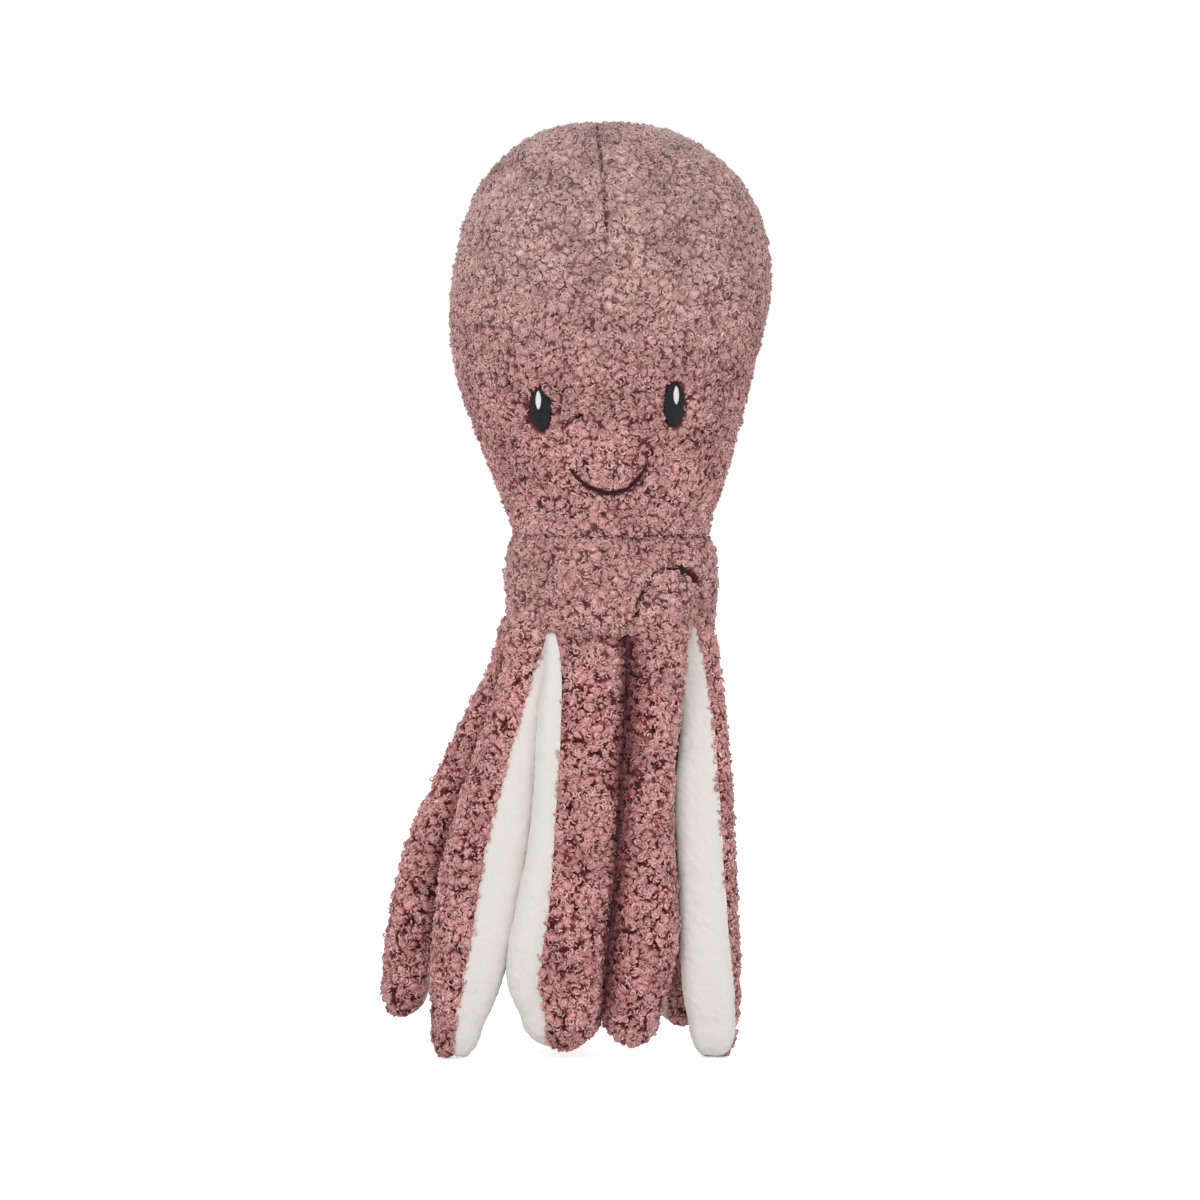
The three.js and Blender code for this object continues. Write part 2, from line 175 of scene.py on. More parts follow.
def grid_faces(rings, sides, closed):
    """A grid's triangles, and the place of each of their corners on the map."""
    j = np.arange(sides if closed else sides - 1)
    i = np.arange(rings - 1)[:, None]
    a = i * sides + j
    b = i * sides + (j + 1) % sides
    c, d = a + sides, b + sides
    u0, u1 = j / len(j) + 0 * i, (j + 1) / len(j) + 0 * i
    v0, v1 = (i + 0 * j) / (rings - 1), (i + 1 + 0 * j) / (rings - 1)
    tris = np.stack([np.stack([a, b, c], -1), np.stack([b, d, c], -1)], 2).reshape(-1, 3)
    at_a, at_b, at_c, at_d = (np.stack(at, -1) for at in ((u0, v0), (u1, v0), (u0, v1), (u1, v1)))
    uv = np.stack([np.stack([at_a, at_b, at_c], 2), np.stack([at_b, at_d, at_c], 2)], 2)
    return tris, uv.reshape(-1, 3, 2)


def fan(ring, pole, at_start, closed, row):
    """Triangles from a ring of vertex numbers to a pole."""
    sides = len(ring)
    j = np.arange(sides if closed else sides - 1)
    a, b = ring[j], ring[(j + 1) % sides]
    tris = np.stack([np.full_like(a, pole), b, a] if at_start else [a, b, np.full_like(a, pole)], 1)
    u0, u1 = j / len(j), (j + 1) / len(j)
    v = np.full_like(u0, row)
    mid = np.stack([(u0 + u1) / 2, v], 1)
    left, right = np.stack([u0, v], 1), np.stack([u1, v], 1)
    uv = np.stack([mid, right, left] if at_start else [left, right, mid], 1)
    return tris, uv


class Cloth:
    """Gathers vertices, faces, UVs and point attributes for one mesh."""
    def __init__(self):
        self.points, self.tris, self.uvs, self.facts = [], [], [], []
        self.count = 0

    def add(self, points, tris, uv, **facts):
        self.points.append(points)
        self.tris.append(tris + self.count)
        self.uvs.append(uv)
        self.facts.append(facts)
        self.count += len(points)

    def make(self, name, material):
        points = np.vstack(self.points) * MM
        tris = np.vstack(self.tris)
        me = bpy.data.meshes.new(name)
        me.vertices.add(len(points))
        me.vertices.foreach_set("co", points.astype(np.float32).ravel())
        me.loops.add(tris.size)
        me.loops.foreach_set("vertex_index", tris.astype(np.int32).ravel())
        me.polygons.add(len(tris))
        me.polygons.foreach_set("loop_start", np.arange(0, tris.size, 3, dtype=np.int32))
        layer = me.uv_layers.new(name="OFBake")
        layer.data.foreach_set("uv", np.concatenate(self.uvs).astype(np.float32).ravel())
        for key in self.facts[0]:
            values = np.concatenate([f[key] for f in self.facts])
            kind = "FLOAT_VECTOR" if values.ndim == 2 else "FLOAT"
            field = "vector" if values.ndim == 2 else "value"
            data = me.attributes.new(key, kind, "POINT").data
            data.foreach_set(field, values.astype(np.float32).ravel())
        me.update(calc_edges=True)
        me.validate()
        me.shade_smooth()
        me.materials.append(material)
        piece = bpy.data.objects.new(name, me)
        bpy.context.scene.collection.objects.link(piece)
        return piece


# Sizes in mm that the shapes share
FINE, ARM_FINE = 0.55, 0.62  # spacing of points on the loop pile of head and torso, and of arms
PLUSH_FINE = 0.8  # the same on the plush
COARSE = 3.0  # the same on the hidden fillings
PILE_DEPTH, TORSO_PILE_DEPTH = 2.2, 2.5  # from the outline in to the cloth that tufts rise from
PILE_RISE, PILE_LIFT = 1.9, 0.4  # how high tufts rise, and how far the cloth is lifted with them
FILL_DEPTH, ARM_FILL_DEPTH = 5.0, 4.6  # from the outline in to the fillings
CROWN_MID = 12.7  # x of the torso's and head's middle
HEM_Z = 152.2  # the torso's lower edge
CURL_DENSITY = 0.72  # curls a square mm
LOW_Z = 0.3  # the pile is pressed flat on the floor
HEAD_SEED, TORSO_SEED, FIRST_ARM_SEED = 101, 102, 200

# Outlines from the top down: height, half width, sideways shift of the middle
HEAD_ROWS = [
    (336.6, 0.0, -1.2), (336.2, 10.0, -1.2), (334.3, 20.5, -1.2), (330.5, 29.5, -0.8),
    (325.0, 37.6, -0.2), (318.5, 44.3, 0.3), (311.0, 49.3, 0.7), (302.0, 53.4, 1.0),
    (292.0, 56.0, 0.9), (281.0, 57.5, 0.4), (269.0, 57.5, -0.5), (257.0, 55.9, -1.7),
    (245.0, 53.4, -2.2), (234.0, 50.4, -1.9), (223.0, 46.8, -1.1), (213.0, 43.6, -0.5),
    (204.0, 40.6, -0.2), (197.0, 38.0, 0.0), (191.5, 36.2, 0.2), (187.2, 35.6, 0.2),
    (184.6, 34.4, 0.2), (184.0, 32.4, 0.2),
]
HEAD_DEPTH_SHARE = 0.82
TORSO_ROWS = [
    (190.0, 32.4, 0.2), (189.4, 34.4, 0.2), (187.2, 35.8, 0.2), (183.0, 37.5, 0.4),
    (177.0, 38.7, 0.4), (170.0, 39.0, 0.2), (163.0, 38.3, 0.2), (158.0, 38.0, 0.2),
    (155.0, 37.2, 0.0), (152.9, 35.2, 0.0), (HEM_Z, 31.5, 0.0), (153.8, 24.0, 0.0),
]
TORSO_DEPTH_SHARE = 0.8
OUTLINE_STEPS = 2000  # points that measure an outline's length
GIRTH_SHARE = 0.92  # these ovals' girth as a share of a circle's


def turned(rows, depth_share, spacing, shrink):
    """Rings round an upright body from its outline rows, spaced evenly along the outline."""
    dense = curve(rows, np.linspace(0, 1, OUTLINE_STEPS))
    length = lengths(dense[:, :2])
    count = int(length[-1] / spacing)
    marks = np.linspace(0, length[-1], count + 1)
    z, wide, shift = (np.interp(marks, length, dense[:, k]) for k in range(3))
    wide = np.maximum(wide, 0)
    along = unit(np.stack([np.gradient(wide), np.gradient(z)], 1))
    inwards = -shrink * along[:, 1]
    sides = int(2 * math.pi * wide.max() * GIRTH_SHARE / spacing)
    angle = 2 * math.pi * np.arange(sides) / sides
    x = CROWN_MID + shift[:, None] + (wide - inwards)[:, None] * np.cos(angle)
    y = -(wide * depth_share - inwards)[:, None] * np.sin(angle)
    height = (z - shrink * along[:, 0])[:, None] + 0 * angle
    return Skin(np.stack([x, y, height], -1), True)


def pole(at_start, z, shift=0.0):
    """The point on the body's middle line that closes a skin at its start or at its end."""
    return at_start, np.array([CROWN_MID + shift, 0, z])


def disc(rings, sides):
    """A round skin's places but its middle: shares of the way out, and angles."""
    angle = np.linspace(0, 2 * math.pi, sides, endpoint=False)[None, :]
    return np.linspace(0, 1, rings + 1)[1:, None], angle


TUFT, SMALL_TUFT = 3.2, 1.7  # sizes of the loop pile's tufts
CLUMP = 2.6  # and of the plush's


def boucle(p):
    """Height of the loop pile from 0 in a crevice to 1, and each tuft's own number."""
    q = p + 1.1 * noise3(p, 4.4, 11) + 0.5 * noise3(p, 1.7, 12)
    near, after, tone = cells(q, TUFT, 21)
    small, small_after, small_tone = cells(q + 7, SMALL_TUFT, 22)
    broken = smooth(0.35 + 1.1 * noise3(p, 2.6, 13)[:, 0])
    gap = np.maximum(smooth((after - near) / 0.8), 0.75 * broken)
    dome = np.clip(1 - (near / 2.6) ** 2, 0, 1)
    fine_gap = smooth((small_after - small) / 0.6)
    height = gap * (0.45 + 0.3 * dome + 0.1 * tone) + 0.2 * fine_gap
    return np.clip(height, 0, 1), 0.6 * tone + 0.4 * small_tone


def plush(p):
    """Height of the short plush from 0 to 1, and its number."""
    fine = noise3(p, 1.3, 31)[:, 0]
    soft = noise3(p, 6.0, 32)
    near, after, tone = cells(p + 0.8 * soft, CLUMP, 33)
    clump = smooth((after - near) / 1.5)
    return np.clip(0.5 + 0.25 * fine + 0.2 * soft[:, 1] + 0.15 * clump, 0, 1), tone


WARM_HEIGHTS = (130, 170, 205, 225, 250, 285, 336)
WARM_SHARES = (1.0, 0.68, 0.83, 0.86, 0.66, 0.25, 0.0)


def warmth(z):
    """0 at the crown, where the pile is greyer, to 1 on the arms, where it is reddest."""
    return np.interp(z, WARM_HEIGHTS, WARM_SHARES)


# The map's lower half holds the skins, its upper half a small patch for each curl
SKIN_MAP = 0.48
CURL_MAP_FROM, CURL_MAP_SHARE, CURL_PATCH = 0.5, 0.98, 0.8
CURL_STEPS, CURL_SIDES = 6, 3


def grow_curls(cloth, skin, normals, keep, dark, seed):
    """Small loops of yarn with their ends in the pile, spread over a skin as keep allows."""
    rng = np.random.default_rng(seed)
    right = np.roll(skin.grid, -1, 1) if skin.closed else skin.grid[:, 1:]
    g, n, k, shade = (v if skin.closed else v[:, :-1] for v in (skin.grid, normals, keep, dark))
    across, down = right[:-1] - g[:-1], g[1:] - g[:-1]
    area = np.linalg.norm(np.cross(across, down), axis=-1) * k[:-1]
    count = int(area.sum() * CURL_DENSITY)
    sums = np.cumsum(area.ravel())
    pick = np.searchsorted(sums, rng.random(count) * sums[-1])
    f = rng.random((2, count, 1))
    origin, across, down, normal = (v.reshape(-1, 3)[pick] for v in (g[:-1], across, down, n[:-1]))
    origin = origin + f[0] * across + f[1] * down
    first = unit(np.cross(normal, rng.normal(size=(count, 3))))
    second = np.cross(normal, first)

    def draw(low, high):
        return rng.uniform(low, high, (count, 1))

    # a bent oval loop in the pile's plane, that arches up and dips at both ends
    t = np.linspace(0, 1, CURL_STEPS + 1)[None, :]
    reach = draw(0.6, 1.35)
    sweep = draw(1.8, 4.6) * rng.choice([-1, 1], (count, 1))
    angle = draw(0, 6.28) + sweep * t
    reach = reach * (1 - draw(0, 0.45) * t)
    x, y = reach * np.cos(angle), reach * np.sin(angle) * draw(0.55, 1)
    arch = np.sin(math.pi * t)
    high = draw(-0.35, 0.1) + draw(0.15, 0.55) * arch
    high = high + x * draw(-0.3, 0.3) - 0.7 * (1 - arch) ** 3
    line = (origin[:, None] + x[..., None] * first[:, None] + y[..., None] * second[:, None]
            + high[..., None] * normal[:, None])
    along = unit(np.gradient(line, axis=1))
    side = unit(np.cross(along, np.broadcast_to(normal[:, None], along.shape)))
    up = np.cross(side, along)
    radius = draw(0.3, 0.44) * (0.5 + 0.5 * arch)
    a = 2 * math.pi * np.arange(CURL_SIDES) / CURL_SIDES
    rim = np.cos(a)[:, None] * side[:, :, None] + np.sin(a)[:, None] * up[:, :, None]
    points = (line[:, :, None] + radius[..., None, None] * rim).reshape(-1, 3)
    points[:, 2] = np.maximum(points[:, 2], LOW_Z)

    # the faces round a curl, and one that closes each end
    steps, sides = CURL_STEPS, CURL_SIDES
    i, j = np.arange(steps)[:, None], np.arange(sides)
    p, q = i * sides + j, i * sides + (j + 1) % sides
    tris = np.stack([np.stack([p, p + sides, q], -1), np.stack([q, p + sides, q + sides], -1)], 2)
    cap = np.arange(sides)[None]
    tris = np.vstack([tris.reshape(-1, 3), cap, cap[:, ::-1] + steps * sides])
    per = (steps + 1) * sides
    tris = (tris[None] + per * np.arange(count)[:, None, None]).reshape(-1, 3)
    columns = int(math.sqrt(count * 2)) + 1
    home = np.stack([np.arange(count) % columns, np.arange(count) // columns], 1) / columns
    place = np.stack([np.repeat(np.arange(steps + 1) / steps, sides),
                      np.tile(np.arange(sides) / sides, steps + 1)], 1)
    spots = (home[:, None] + CURL_PATCH * place[None] / columns).reshape(-1, 2)
    uv = spots[tris]
    uv[..., 1] = CURL_MAP_FROM + uv[..., 1] * CURL_MAP_SHARE
    # painted shade and highlight: a curl is darker at its ends, where they sink into the pile, and
    # lighter along its outward top
    pile = (0.42 + 0.58 * arch + draw(-0.12, 0.12))[:, :, None] + 0.1 * np.sin(a)
    tone = np.repeat(rng.random(count), per)
    shade = np.repeat(shade[:-1].ravel()[pick], per)
    cloth.add(points, tris, uv, rest=points, pile=pile.reshape(-1), tone=tone,
              warm=warmth(points[:, 2]), dark=shade)


def base_cloth(cloth, skin, poles, height, tone, rest, dark=None):
    """Adds a skin's grid, with its poles, on the lower half of the map."""
    rings, sides = skin.grid.shape[:2]
    tris, uv = grid_faces(rings, sides, skin.closed)
    dark = np.zeros(height.shape) if dark is None else dark
    points = [skin.flat()]
    facts = [(rest.reshape(-1, 3), height.ravel(), tone.ravel(), dark.ravel())]
    tris, uv = [tris], [uv]
    count = rings * sides
    for at_start, point in poles:
        ring = np.arange(sides) + (0 if at_start else (rings - 1) * sides)
        t, m = fan(ring, count, at_start, skin.closed, 0.0 if at_start else 1.0)
        points.append(point[None])
        facts.append((point[None], np.array([0.5]), np.array([0.5]), np.array([0.0])))
        tris.append(t)
        uv.append(m)
        count += 1
    rest, height, tone, dark = (np.concatenate([f[k] for f in facts]) for k in range(4))
    cloth.add(np.vstack(points), np.vstack(tris), np.vstack(uv) * (1, SKIN_MAP), rest=rest,
              pile=height, tone=tone, warm=warmth(rest[:, 2]), dark=dark)


# Materials, each from nodes
def material(name):
    made = bpy.data.materials.new(name)
    made.use_nodes = True
    tree = made.node_tree
    return made, tree, tree.nodes["Principled BSDF"]


def node(tree, kind, links=(), **values):
    made = tree.nodes.new(kind)
    for key, value in values.items():
        if key in made.inputs:
            made.inputs[key].default_value = value
        else:
            setattr(made, key, value)
    for socket, source in links:
        tree.links.new(source, made.inputs[socket])
    return made


def fact(tree, name):
    return node(tree, "ShaderNodeAttribute", attribute_name=name)


def ramp(tree, source, stops):
    made = node(tree, "ShaderNodeValToRGB", [("Fac", source)])
    bar = made.color_ramp
    while len(bar.elements) < len(stops):
        bar.elements.new(1.0)
    for element, (at, colour) in zip(bar.elements, stops):
        element.position, element.color = at, (*colour, 1)
    return made.outputs["Color"]


def mix(tree, factor, a, b, way="MIX"):
    made = tree.nodes.new("ShaderNodeMix")
    made.data_type, made.blend_type = "RGBA", way
    for socket, value in ((made.inputs[0], factor), (made.inputs[6], a), (made.inputs[7], b)):
        if isinstance(value, bpy.types.NodeSocket):
            tree.links.new(value, socket)
        else:
            socket.default_value = value
    return made.outputs[2]


def srgb(*levels):
    """A colour as it shows, from 0 to 255, as the light that Blender mixes."""
    return tuple(c / 255 / 12.92 if c <= 10 else ((c / 255 + 0.055) / 1.055) ** 2.4 for c in levels)


def grey(level):
    return (level, level, level)


def noise(tree, rest, scale, detail, **more):
    made = node(tree, "ShaderNodeTexNoise", [("Vector", rest.outputs["Vector"])],
                Scale=scale, Detail=detail, **more)
    return made.outputs["Fac"]


def times(tree, colour, source, stops):
    """A colour multiplied by a ramp over a source."""
    return mix(tree, 1.0, colour, ramp(tree, source, stops), "MULTIPLY")


def bumped(tree, shader, height, strength, distance):
    bump = node(tree, "ShaderNodeBump", [("Height", height)], Strength=strength, Distance=distance)
    tree.links.new(bump.outputs["Normal"], shader.inputs["Normal"])


def set_sockets(shader, **values):
    """Sets the shader's own sockets, whose names are written with _ for a space."""
    for key, value in values.items():
        shader.inputs[key.replace("_", " ")].default_value = value


def rose_material():
    made, tree, shader = material("rose_boucle")
    pile, tone, warm, dark = (fact(tree, name).outputs["Fac"]
                              for name in ("pile", "tone", "warm", "dark"))
    rest = fact(tree, "rest")
    # painted shade and highlight: the colour runs from dark deep in the pile's crevices to light on
    # the tufts' and curls' tops
    arm = ramp(tree, pile, [(0.0, srgb(50, 6, 10)), (0.3, srgb(112, 44, 47)),
                            (0.6, srgb(196, 135, 133)), (1.0, srgb(242, 193, 190))])
    crown = ramp(tree, pile, [(0.0, srgb(138, 105, 101)), (0.3, srgb(171, 139, 134)),
                              (0.6, srgb(203, 172, 167)), (1.0, srgb(218, 191, 186))])
    colour = mix(tree, warm, crown, arm)
    yarn = noise(tree, rest, 0.9, 4.0)
    colour = times(tree, colour, yarn, [(0.3, (0.82, 0.80, 0.80)), (0.7, (1.12, 1.10, 1.10))])
    patches = noise(tree, rest, 0.07, 1.0)
    colour = times(tree, colour, patches, [(0.35, (0.86, 0.81, 0.82)), (0.6, grey(1.08))])
    colour = times(tree, colour, tone,
                   [(0.0, (0.74, 0.70, 0.70)), (0.5, grey(1.0)), (1.0, grey(1.16))])
    # painted shade: the yarn darkens in the grooves between arms, in the seams and creases, and
    # beside the left eye
    colour = times(tree, colour, dark,
                   [(0.0, grey(1.0)), (0.5, (0.55, 0.37, 0.39)), (1.0, (0.2, 0.07, 0.08))])
    tree.links.new(colour, shader.inputs["Base Color"])
    bumped(tree, shader, noise(tree, rest, 2.4, 3.0, Distortion=2.2), 0.6, 0.0004)
    set_sockets(shader, Roughness=0.85, Sheen_Weight=0.44, Sheen_Roughness=0.4,
                Sheen_Tint=(0.9, 0.68, 0.66, 1), Specular_IOR_Level=0.25)
    return made


def white_material(name, low, high):
    made, tree, shader = material(name)
    pile, rest = fact(tree, "pile"), fact(tree, "rest")
    # painted shade in the plush's pits
    colour = ramp(tree, pile.outputs["Fac"], [(0.0, low), (0.3, high)])
    mottle = noise(tree, rest, 0.16, 3.0)
    colour = times(tree, colour, mottle, [(0.3, grey(0.985)), (0.7, (1.0, 0.995, 0.985))])
    tree.links.new(colour, shader.inputs["Base Color"])
    bumped(tree, shader, noise(tree, rest, 2.8, 4.0), 0.35, 0.0004)
    set_sockets(shader, Roughness=0.9, Sheen_Weight=0.6, Specular_IOR_Level=0.2)
    return made


def thread_material(name, low, high, roughness):
    made, tree, shader = material(name)
    pile, rest = fact(tree, "pile"), fact(tree, "rest")
    # painted shade between the stitches' ridges, lighter on their tops
    colour = ramp(tree, pile.outputs["Fac"], [(0.0, low), (1.0, high)])
    tree.links.new(colour, shader.inputs["Base Color"])
    bumped(tree, shader, noise(tree, rest, 5.0, 2.0), 0.3, 0.0002)
    set_sockets(shader, Roughness=roughness, Specular_IOR_Level=0.18)
    return made


ROSE = rose_material()
WHITE = white_material("white_plush", srgb(198, 195, 188), srgb(223, 220, 214))
FIBRE = white_material("fibre_filling", srgb(200, 198, 192), srgb(240, 238, 232))
BLACK = thread_material("dark_thread", srgb(6, 6, 8), srgb(34, 35, 41), 0.5)
MAROON = thread_material("mouth_thread", srgb(16, 3, 5), srgb(58, 18, 21), 0.6)
PALE = thread_material("white_thread", srgb(206, 205, 202), srgb(246, 246, 244), 0.5)


# Head and torso. Lines on them are points x, z of the front view in mm.
EYES = [  # name, middle x and z in mm, half width, half height, lean in degrees
    ("left", -12.2, 233.9, 3.75, 7.65, 5.0),
    ("right", 35.2, 235.7, 3.78, 8.05, -3.0),
]
GLINT_SHIFT, GLINT_RISE = 0.9, 3.1  # from an eye's middle to its highlight's
GLINT_HALVES = (1.1, 3.6)
SMILE = [(-2.1, 215.0), (-1.4, 212.0), (1.9, 208.4), (5.2, 206.0), (9.9, 204.4),
         (12.9, 204.1), (18.2, 205.2), (20.7, 207.3), (23.0, 209.7), (25.2, 213.5)]
SEAM = [(7.8, 337.0), (8.6, 328.0), (9.6, 318.0), (10.6, 308.0), (11.2, 296.0), (11.4, 284.0)]
FOLD = [(-3.8, 228.8), (-1.4, 230.2), (1.8, 231.4)]  # a small crease by the left eye
ARCH = [(21.6, 158.0), (23.0, 163.0), (25.8, 169.4), (29.8, 174.0),  # the fold over an arm's top
        (35.0, 176.6), (40.0, 175.0), (43.0, 171.6)]
NECK_SEAM_Z = 187.6
SEAM_LOW_Z, SEAM_BACK_Z = 283, 335  # the crown's seam ends here in front, and behind
NOTCH_LOW_Z = 322
SIDE_SEAMS_TOP_Z = 325
CHEEK, CHEEK_HALVES, CHEEK_SHADE = (-14, 238), (15, 27), 0.13  # painted shade beside the left eye


def near_line(x, z, line):
    """Distance from points to a polyline in the front view."""
    best = np.full(x.shape, 1e9)
    for (x0, z0), (x1, z1) in zip(line, line[1:]):
        dx, dz = x1 - x0, z1 - z0
        t = np.clip(((x - x0) * dx + (z - z0) * dz) / (dx * dx + dz * dz), 0, 1)
        best = np.minimum(best, np.hypot(x - x0 - t * dx, z - z0 - t * dz))
    return best


def in_oval(x, z, spot):
    """1 on an oval's edge, less inside."""
    _, cx, cz, wide, high, lean = spot
    a = math.radians(lean)
    u = (x - cx) * math.cos(a) + (z - cz) * math.sin(a)
    w = -(x - cx) * math.sin(a) + (z - cz) * math.cos(a)
    return np.hypot(u / wide, w / high)


def neck_seam(x, y, z):
    """1 in the groove of the neck seam, deepest in front at the right."""
    deeper = 0.45 + 0.55 * smooth((x + 4) / 16) * (y < 0)
    return near_to(np.abs(z - NECK_SEAM_Z), 1.5, 1.1) * deeper


def pile_skin(skin, drop, press, seed, poles, dark):
    """A loop pile cloth over a skin: tufts, then curls. press is 1 where the pile is flat."""
    rest = skin.grid
    normals = skin.normals()
    height, tone = (v.reshape(press.shape) for v in boucle(skin.flat()))
    free = 1 - press
    rise = PILE_RISE * height * (0.25 + 0.75 * free) - drop
    grid = rest + rise[..., None] * normals
    grid[..., 2] = np.maximum(grid[..., 2], LOW_Z)
    skin = Skin(grid, skin.closed)
    cloth = Cloth()
    # the pile attribute paints shade: darker deep in the crevices and where the pile is pressed
    # flat
    base_cloth(cloth, skin, poles, (height - 0.12) * (1 - 0.8 * press), tone, rest, dark)
    grow_curls(cloth, skin, normals, free * (0.35 + 0.65 * height), dark, seed)
    return cloth


def make_head():
    skin = turned(HEAD_ROWS, HEAD_DEPTH_SHARE, FINE, PILE_DEPTH)
    skin.grid = skin.grid[1:]
    x, y, z = np.moveaxis(skin.grid, -1, 0)
    front = y < 0
    press = np.zeros(x.shape)
    for spot in EYES:
        press = np.maximum(press, front * near_to(in_oval(x, z, spot), 1.2, 0.16))
    mouth = near_to(near_line(x, z, SMILE[2:]), 1.5, 1.0)
    press = np.maximum(press, front * 0.75 * mouth)
    # the crown's seam, with a notch where it crosses the outline, and the seams down both sides
    seam = np.where(front | (z > SEAM_BACK_Z), near_line(x, z, SEAM), 9)
    groove = near_to(seam, 1.0, 0.8) * np.where(front, smooth((z - SEAM_LOW_Z) / 15), 1)
    notch = near_to(seam, 3.4, 3.2) * smooth((z - NOTCH_LOW_Z) / 12)
    sides = near_to(np.abs(y), 1.3, 1.2) * (z < SIDE_SEAMS_TOP_Z)
    groove = np.maximum(groove, 0.5 * sides)
    fold = front * near_to(near_line(x, z, FOLD), 1.5, 1.0)
    neck = neck_seam(x, y, z)
    press = np.maximum(press, np.maximum(0.8 * groove, 0.9 * fold))
    press = np.maximum(press, neck)
    drop = 0.9 * groove - PILE_LIFT + 1.8 * fold + 1.1 * neck + 1.7 * notch
    # painted shade in the grooves of the seams, in the crease by the left eye and in the neck seam,
    # and a soft painted shade beside the left eye
    dark = np.maximum(np.maximum(0.35 * groove, 0.12 * fold), 0.4 * neck)
    off = [(v - at) / half for v, at, half in zip((x, z), CHEEK, CHEEK_HALVES)]
    dark = dark + CHEEK_SHADE * front * np.exp(-off[0] ** 2 - off[1] ** 2)
    poles = [pole(True, HEAD_ROWS[0][0]), pole(False, skin.grid[-1, :, 2].mean() + 0.05, -1.2)]
    cloth = pile_skin(skin, drop, press, HEAD_SEED, poles, dark)
    return cloth.make("head_cover", ROSE)


def make_torso():
    skin = turned(TORSO_ROWS, TORSO_DEPTH_SHARE, FINE, TORSO_PILE_DEPTH)
    x, y, z = np.moveaxis(skin.grid, -1, 0)
    arch = (y < 0) * near_to(near_line(x, z, ARCH), 2.5, 1.8)
    neck = neck_seam(x, y, z)
    drop = 1.5 * arch + 1.1 * neck - PILE_LIFT
    # painted shade in the fold over an arm's top and in the neck seam
    dark = np.maximum(0.7 * arch, 0.4 * neck)
    poles = [pole(True, 186.0), pole(False, 154.5)]
    cloth = pile_skin(skin, drop, np.maximum(arch, neck), TORSO_SEED, poles, dark)
    return cloth.make("torso_cover", ROSE)


def front_y(x, z, out):
    """Where the head's front lies at a place in the front view, moved outwards."""
    rows = np.array(HEAD_ROWS[::-1])
    wide = np.interp(z, rows[:, 0], rows[:, 1]) + out
    middle = CROWN_MID + np.interp(z, rows[:, 0], rows[:, 2])
    return -np.sqrt(np.maximum(wide**2 - (x - middle) ** 2, 0)) * HEAD_DEPTH_SHARE


OVAL_RINGS, OVAL_SIDES = 44, 120


def make_oval(name, spot, surface, out, thick, pitch, pointed):
    """A satin-stitched oval on the face, domed, with a ridge for each stitch."""
    _, cx, cz, wide, high, lean = spot
    a = math.radians(lean)
    share, angle = disc(OVAL_RINGS, OVAL_SIDES)
    edge = 1 + 0.02 * np.sin(9 * angle + 1) + 0.015 * np.sin(17 * angle)
    reach = share * edge
    u = wide * reach * np.cos(angle) * (1 - pointed * np.abs(np.sin(angle)) ** 3)
    w = high * reach * np.sin(angle)
    ridge = 0.5 + 0.5 * np.cos(2 * math.pi * (w - 0.25 * u) / pitch + 0.8 * np.sin(w * 1.7))
    dome = np.sqrt(np.maximum(1 - share**2.6, 0)) + 0 * angle
    height = out + thick * dome + 0.14 * ridge * dome**0.5 - 0.5 * (share**12)
    x = cx + u * math.cos(a) - w * math.sin(a)
    z = cz + u * math.sin(a) + w * math.cos(a)
    y = front_y(x, z, height)
    cloth = Cloth()
    points = np.stack([x, y, z], -1)
    skin = Skin(points[:, ::-1], True)
    centre = np.array([cx, float(front_y(np.array(cx), np.array(cz), out + thick)), cz])
    # the stitch ridges give the painted shade between stitches
    base_cloth(cloth, skin, [(True, centre)], ridge[:, ::-1], ridge * 0 + 0.5, skin.grid)
    return cloth.make(name, surface)


DIPS = [(0.63, 0.025, 0.9), (0.755, 0.03, 0.8)]  # where the smile dips in: share, width, depth
THREAD_STEPS, THREAD_SIDES = 260, 8
STITCHES, TWISTS = 9, 17  # on the smile: stitches, and turns of its two plies
PLY_OFF = 0.36  # how far a ply runs from the thread's middle


def tube(cloth, line, radius, pile):
    """A closed round thread along a line of points."""
    along = unit(np.gradient(line, axis=0))
    side = unit(np.cross(along, np.array((0, -1.0, 0))))
    up = np.cross(side, along)
    a = 2 * math.pi * np.arange(THREAD_SIDES) / THREAD_SIDES
    rim = np.cos(a)[:, None] * side[:, None] + np.sin(a)[:, None] * up[:, None]
    ring = line[:, None] + radius[:, None, None] * rim
    poles = [(True, line[0]), (False, line[-1])]
    base_cloth(cloth, Skin(ring[:, ::-1], True), poles, np.broadcast_to(pile, ring.shape[:2]),
               np.zeros(ring.shape[:2]), ring)


def make_mouth():
    t = np.linspace(0, 1, THREAD_STEPS)
    path = curve(SMILE, t)
    cloth = Cloth()
    # the thread rises out of the pile at its left end
    out = 0.75 - 1.5 * near_to(t, 0.3, 0.3)
    for at, width, depth in DIPS:
        out = out - depth * np.exp(-((t - at) / width) ** 2)
    body = 0.55 + 0.45 * smooth((t - 0.1) / 0.3) - 0.3 * np.exp(-((t - 0.7) / 0.06) ** 2)
    beat = np.abs(np.sin(math.pi * STITCHES * t)) ** 0.35
    ends = np.minimum(1, 0.25 + 6 * np.minimum(t, 1 - t))
    along = unit(np.gradient(np.c_[path[:, 0], 0 * t, path[:, 1]], axis=0))
    across = unit(np.cross(along, (0, 1.0, 0)))
    for ply in (0, math.pi):
        turn = 2 * math.pi * t * TWISTS + ply
        x = path[:, 0] + PLY_OFF * np.cos(turn) * across[:, 0]
        z = path[:, 1] + PLY_OFF * np.cos(turn) * across[:, 2]
        y = front_y(x, z, out + 0.3 * np.sin(turn) + 0.35 * beat)
        radius = 0.46 * body * (0.7 + 0.3 * beat) * ends
        # painted shade where the thread dips between stitches
        tube(cloth, np.stack([x, y, z], 1), radius, (0.35 + 0.4 * beat)[:, None])
    return cloth.make("mouth_thread", MAROON)


